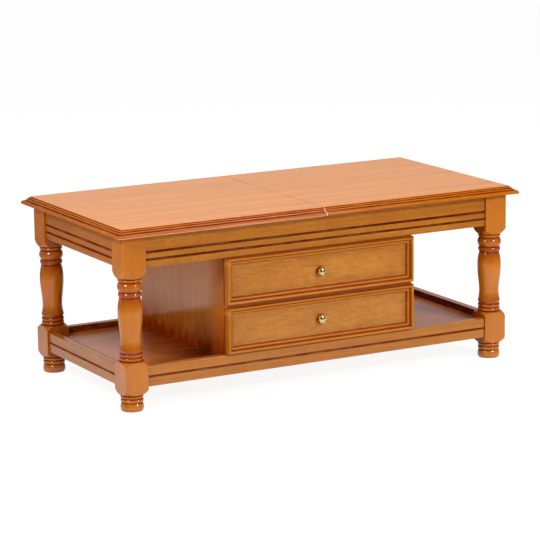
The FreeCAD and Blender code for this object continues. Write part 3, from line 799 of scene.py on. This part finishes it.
@dataclass
class Top:
    """The two leaves. Lengths are in millimetres, heights above the floor."""

    panel_step: float = 437.6
    upper_step: float = 434.0
    lower_step: float = 429.6
    nosing: float = 425.2
    nosing_foot: float = 421.2
    seam_x: float = 0.0
    cut_x: float = 0.8
    seam_toner: Wipe = Wipe(1.6, 0.7)
    wall_toner: Wipe = Wipe(2.2, 0.8)
    panel_step_toner: Wipe = Wipe(1.2, 1.0, 0.3)
    edge_step_toner: Wipe = Wipe(1.6, 1.0, 0.3)
    nosing_toner: Wipe = Wipe(5.0, 0.42, 0.8)
    bright_nosing_toner: Wipe = Wipe(5.0, 0.34, 0.8)
    # A painted highlight along the foot of the left leaf's nosing.
    nosing_painted_highlight: Wipe = Wipe(1.6, 0.72, 0.3)
    # A painted shadow on the left leaf beside the cut.
    cut_painted_shadow: Wipe = Wipe(3.4, 0.9, 0.4)
    # A painted highlight on the right leaf's cut end.
    cut_painted_highlight: Wipe = Wipe(2.1, 1.0, 0.4)

    def dress_leaves(self) -> None:
        """Dresses both panels and their mitred edges, with toner in the edge's steps, a painted highlight
        along the left nosing's foot, and a painted highlight and painted shadow at the cut where the leaves
        meet.
        """
        seam = Stripes(Axis.X, self.seam_toner.at(self.seam_x))
        wall = Stripes(Axis.Z, self.wall_toner.at(self.panel_step))
        panel = TOP_VENEER.material("top", Straight(Axis.X), (seam, wall))
        steps = Stripes(Axis.Z, (*self.panel_step_toner.at(self.panel_step),
                                 *self.edge_step_toner.at(self.upper_step, self.lower_step)))
        nosing = Stripes(Axis.Z, self.nosing_toner.at(self.nosing))
        bright_nosing = Stripes(Axis.Z, self.bright_nosing_toner.at(self.nosing))
        # Painted highlight along the nosing's foot.
        foot = Stripes(Axis.Z, self.nosing_painted_highlight.at(self.nosing_foot))
        # Painted shadow on the left leaf beside the cut.
        shadow = Stripes(Axis.X, self.cut_painted_shadow.at(-self.cut_x))
        # Painted highlight on the right leaf's cut end.
        cut = Stripes(Axis.X, self.cut_painted_highlight.at(self.cut_x))
        end_wood = END_EDGE_WOOD.material("top_end_edge", Straight(Axis.Y), (steps, nosing))
        left_wood = EDGE_WOOD.material("top_left_edge", Straight(Axis.X), (steps, nosing, shadow), (foot,))
        right_wood = GOLDEN_EDGE_WOOD.material("top_right_edge", Straight(Axis.X),
                                               (steps, bright_nosing), (cut,))
        for side, wood in ((Side.LEFT, left_wood), (Side.RIGHT, right_wood)):
            dress(f"{side.value}_leaf_front_edge", wood)
            dress(f"{side.value}_leaf_back_edge", wood)
            dress(f"{side.value}_leaf_end_edge", end_wood)
            dress(f"{side.value}_leaf_panel", panel)


@dataclass
class Drawer:
    """One drawer. Lengths are in millimetres, insets from the front's outline."""

    level: Level
    half_width: float = 260.0
    half_height: float = 56.9
    lower_centre: float = 162.8
    pitch: float = 120.0
    front_back_y: float = -233.0
    strip_width: float = 16.8
    groove_inset: float = 9.2
    bead_inset: float = 13.4
    ledge_inset: float = 1.6
    lip_rise: float = 2.6
    knob_drop: float = 1.5
    knob_foot: float = 6.0
    outline_toner: Wipe = Wipe(2.6, 0.35)
    groove_toner: Wipe = Wipe(3.2, 1.0)
    bead_toner: Wipe = Wipe(7.0, 0.25)
    strip_toner: Wipe = Wipe(2.6, 1.0)
    # Painted shade along the top edge of each front, under the apron or the drawer above.
    ledge_painted_shade: Wipe = Wipe(2.2, 0.8, 0.2)
    # A painted sheen on the board's lip above the strips, seen in the gap between the fronts.
    lip_painted_sheen: Wipe = Wipe(3.6, 0.9, 0.4)
    # Painted light along the top strip's bead and the field's top edge, which keeps them paler than the
    # bottom ones.
    upper_painted_light: Wipe = Wipe(6.0, 0.65, 0.6)
    field_toner: Wipe = Wipe(3.2, 1.0)
    # A soft darker border round the field, partly antique toning and partly painted shade from the strips.
    border_toner_and_painted_shade: Wipe = Wipe(18.0, 0.22)
    # Painted shadow of the right strip on the field, darker towards the field's right edge.
    right_painted_shadow: Wipe = Wipe(16.0, 0.3)
    # Painted shade on the board's edges near its back, where the gap to the cabinet lies.
    back_painted_shade: Wipe = Wipe(7.4, 1.4, 0.55)
    # A painted shadow round the knob's foot, darker close to it.
    knob_painted_shadow: Wipe = Wipe(9.0, 1.0, 0.3)

    def centre(self) -> float:
        """Gives the height of the front's middle."""
        return self.lower_centre + (self.pitch if self.level is Level.UPPER else 0.0)

    def round_front(self, bands: tuple[Band, ...]) -> Surround:
        """Lays stripes round this drawer's front."""
        return Surround(self.centre(), self.half_width, self.half_height, bands)

    def dress_front(self) -> None:
        """Dresses the front board, the mitred strips round its field and the knob, with painted shade, light
        and sheen on the board and strips and a painted shadow round the knob.
        """
        name = self.level.value
        edge = self.centre() + self.half_height
        strips = self.round_front((*self.groove_toner.at(self.groove_inset),
                                   *self.strip_toner.at(self.strip_width),
                                   *self.bead_toner.at(self.bead_inset), *self.outline_toner.at(0.0)))
        # Painted shade along the front's top edge.
        ledge = Stripes(Axis.Z, self.ledge_painted_shade.at(edge - self.ledge_inset))
        # Painted sheen on the board's lip above the strips.
        lip = Stripes(Axis.Z, self.lip_painted_sheen.at(edge + self.lip_rise))
        # Painted light on the top strip and the field's top edge.
        upper = Stripes(Axis.Z, self.upper_painted_light.at(edge - self.bead_inset))
        field = self.round_front(self.field_toner.at(self.strip_width))
        # Toner and painted shade in a soft border round the field.
        shade = self.round_front(self.border_toner_and_painted_shade.at(self.strip_width))
        # Painted shadow along the field's right edge.
        right_strip_shadow = Stripes(Axis.X, self.right_painted_shadow.at(self.half_width - self.strip_width))
        # Painted shade on the board's back edges, in the gap behind the front.
        back = Stripes(Axis.Y, self.back_painted_shade.at(self.front_back_y))
        # Painted shadow of the knob, laid round its foot on the front.
        foot = Ring(self.centre() - self.knob_drop, self.knob_painted_shadow.at(self.knob_foot))
        dress(f"{name}_drawer_moulding",
              STRIP_WOOD.material(f"{name}_strips", Mitred(strips), (strips, ledge), (upper,)))
        dress(f"{name}_drawer_front",
              FIELD_WOOD.material(f"{name}_field", Straight(Axis.X), (shade, field, back, foot, right_strip_shadow),
                                  (lip, upper)))
        dress(f"{name}_drawer_knob", BRASS.material())

    def dress_box(self) -> None:
        """Dresses the box behind the front."""
        name = self.level.value
        across = BARE_PINE.material(f"{name}_box_X", Straight(Axis.X))
        deep = BARE_PINE.material(f"{name}_box_Y", Straight(Axis.Y))
        dress(f"{name}_drawer_inner_front", across)
        dress(f"{name}_drawer_back", across)
        dress(f"{name}_drawer_left_side", deep)
        dress(f"{name}_drawer_right_side", deep)
        dress(f"{name}_drawer_bottom", PLYWOOD.material(f"{name}_bottom", Straight(Axis.X)))


def bearing(azimuth: float, elevation: float) -> Vector:
    """Gives the direction from the table to a place, from its bearing and height in degrees.

    Args:
        azimuth: degrees from the table's front towards its right end.
        elevation: degrees above the floor.

    Returns:
        A direction of length 1.
    """
    turn = math.radians(azimuth)
    rise = math.radians(elevation)
    return Vector((math.sin(turn) * math.cos(rise), -math.cos(turn) * math.cos(rise), math.sin(rise)))


@dataclass(frozen=True)
class Lamp:
    """One square softbox: its bearing and height as seen from the table, its distance, size and power."""

    name: str
    azimuth: float
    elevation: float
    distance: float
    size: float
    power: float


@dataclass
class Studio:
    """A pale floor, a pale room and three softboxes. Lengths are in metres, angles in degrees."""

    floor_half: float = 40.0
    floor_drop: float = 0.0003
    floor_lit: str = "#E7E7E7"
    floor_seen: str = "#7C7C7C"
    floor_glow: float = 0.90
    # A painted pool of light seen in mirrors: the floor glows fully near the table and fades to far_floor
    # further off.
    glow_pool_half: float = 0.7
    glow_pool_fade: float = 1.9
    far_floor: float = 0.1
    aim: tuple[float, float, float] = (0.0, 0.0, 0.25)
    lamps: tuple[Lamp, ...] = (
        Lamp("softbox_right", azimuth=25.0, elevation=26.0, distance=3.2, size=0.45, power=52.0),
        Lamp("softbox_left", azimuth=-68.2, elevation=27.75, distance=1.825, size=0.36, power=12.7),
        Lamp("softbox_above", azimuth=60.0, elevation=80.0, distance=2.4, size=1.8, power=36.0))
    room_light: float = 0.40
    mirrored_front: float = 0.12
    mirrored_back: float = 0.66
    mirror_from: float = 0.3
    mirror_to: float = 0.9

    def build_floor(self) -> None:
        """Builds the floor, which the camera sees as white with a light shadow on it."""
        mesh = bpy.data.meshes.new("studio_floor")
        shape = bmesh.new()
        bmesh.ops.create_grid(shape, x_segments=1, y_segments=1, size=self.floor_half)
        bmesh.ops.translate(shape, verts=shape.verts, vec=(0.0, 0.0, -self.floor_drop))
        shape.to_mesh(mesh)
        shape.free()
        floor = bpy.data.objects.new("studio_floor", mesh)
        bpy.context.scene.collection.objects.link(floor)
        mesh.materials.append(self.floor_material())

    def floor_material(self) -> bpy.types.Material:
        """Makes the floor's painted paper, which is matt and pale and shows only the table's shadow to the
        camera; in mirrors it glows as a painted pool of light round the table, fading further off.

        Returns:
            The finished material.
        """
        material, tree = new_material("paper_painted_white")
        plain = add(tree, "ShaderNodeBsdfDiffuse", {"Color": hex_linear(self.floor_lit)})
        faint = add(tree, "ShaderNodeBsdfDiffuse", {"Color": hex_linear(self.floor_seen)})
        place = add(tree, "ShaderNodeTexCoord")
        away = add(tree, "ShaderNodeVectorMath", {0: place.outputs["Object"]}, operation="LENGTH")
        dim = add(tree, "ShaderNodeMapRange",
                  {"Value": away.outputs["Value"], "From Min": self.glow_pool_half, "From Max": self.glow_pool_fade,
                   "To Min": 1.0, "To Max": self.far_floor})
        path = add(tree, "ShaderNodeLightPath")
        direct = path.outputs["Is Camera Ray"]
        level = work(tree, "MULTIPLY", work(tree, "MAXIMUM", direct, dim.outputs[0]), self.floor_glow)
        glow = add(tree, "ShaderNodeEmission", {"Color": hex_linear(WHITE), "Strength": level})
        white = add(tree, "ShaderNodeAddShader", {0: faint.outputs[0], 1: glow.outputs[0]})
        near = work(tree, "MAXIMUM", direct, path.outputs["Is Glossy Ray"])
        seen = work(tree, "MAXIMUM", near, path.outputs["Is Transmission Ray"])
        mixed = add(tree, "ShaderNodeMixShader", {0: seen, 1: plain.outputs[0], 2: white.outputs[0]})
        add(tree, "ShaderNodeOutputMaterial", {"Surface": mixed.outputs[0]})
        return material

    def build_world(self) -> None:
        """Builds the room: white to the camera, paler behind than in front in mirrors, and an even light."""
        world = bpy.data.worlds.new("studio_room")
        world.use_nodes = True
        bpy.context.scene.world = world
        tree = world.node_tree
        tree.nodes.clear()
        path = add(tree, "ShaderNodeLightPath")
        place = add(tree, "ShaderNodeTexCoord")
        heading = add(tree, "ShaderNodeSeparateXYZ", {0: place.outputs["Generated"]})
        level = add(tree, "ShaderNodeMapRange",
                    {"Value": heading.outputs["Y"], "From Min": self.mirror_from, "From Max": self.mirror_to,
                     "To Min": self.mirrored_front, "To Max": self.mirrored_back})
        light, mirror, white = (
            add(tree, "ShaderNodeBackground", {"Color": hex_linear(WHITE), "Strength": strength}).outputs[0]
            for strength in (self.room_light, level.outputs[0], 1.0))
        shine = work(tree, "MAXIMUM", path.outputs["Is Glossy Ray"], path.outputs["Is Transmission Ray"])
        inner = add(tree, "ShaderNodeMixShader", {0: shine, 1: light, 2: mirror})
        outer = add(tree, "ShaderNodeMixShader",
                    {0: path.outputs["Is Camera Ray"], 1: inner.outputs[0], 2: white})
        add(tree, "ShaderNodeOutputWorld", {"Surface": outer.outputs[0]})

    def build_lamps(self) -> None:
        """Builds the softboxes, each turned to the table."""
        for lamp in self.lamps:
            light = bpy.data.lights.new(lamp.name, "AREA")
            light.shape = "SQUARE"
            light.size = lamp.size
            light.energy = lamp.power
            away = bearing(lamp.azimuth, lamp.elevation)
            holder = bpy.data.objects.new(lamp.name, light)
            holder.location = Vector(self.aim) + away * lamp.distance
            holder.rotation_mode = "QUATERNION"
            holder.rotation_quaternion = away.to_track_quat("Z", "Y")
            bpy.context.scene.collection.objects.link(holder)


@dataclass
class PhotoCamera:
    """The camera, placed by the photograph's perspective. Lengths in metres, angles in degrees."""

    azimuth: float = -28.88
    elevation: float = 11.97
    roll: float = -0.69
    distance: float = 6.40846
    target: tuple[float, float, float] = (-0.00553, 0.0, 0.23981)
    sensor_mm: float = 36.0
    image_pixels: float = 540.0
    focal_pixels: float = 2567.77
    clip_end: float = 200.0

    def build(self) -> None:
        """Builds the camera and makes it the scene's own."""
        back = bearing(self.azimuth, self.elevation)
        roll = math.radians(self.roll)
        level = Vector((0.0, 0.0, 1.0)).cross(back).normalized()
        upright = back.cross(level)
        right = level * math.cos(roll) + upright * math.sin(roll)
        up = upright * math.cos(roll) - level * math.sin(roll)
        lens = bpy.data.cameras.new("photo_camera")
        lens.sensor_width = self.sensor_mm
        lens.lens = self.focal_pixels * self.sensor_mm / self.image_pixels
        lens.clip_end = self.clip_end
        camera = bpy.data.objects.new("photo_camera", lens)
        turned = Matrix((right, up, back)).transposed()
        camera.matrix_world = Matrix.Translation(Vector(self.target) + back * self.distance) @ turned.to_4x4()
        bpy.context.scene.collection.objects.link(camera)
        bpy.context.scene.camera = camera


def main() -> None:
    """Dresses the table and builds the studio."""
    logging.basicConfig(level=logging.INFO)
    stand = Stand()
    stand.dress_legs()
    stand.dress_rails()
    cabinet = Cabinet()
    cabinet.dress_panels()
    cabinet.dress_inner_parts()
    Top().dress_leaves()
    for level in Level:
        drawer = Drawer(level)
        drawer.dress_front()
        drawer.dress_box()
    studio = Studio()
    studio.build_floor()
    studio.build_world()
    studio.build_lamps()
    PhotoCamera().build()
    bpy.context.scene.view_settings.view_transform = "Standard"


if __name__ == "__main__":
    main()
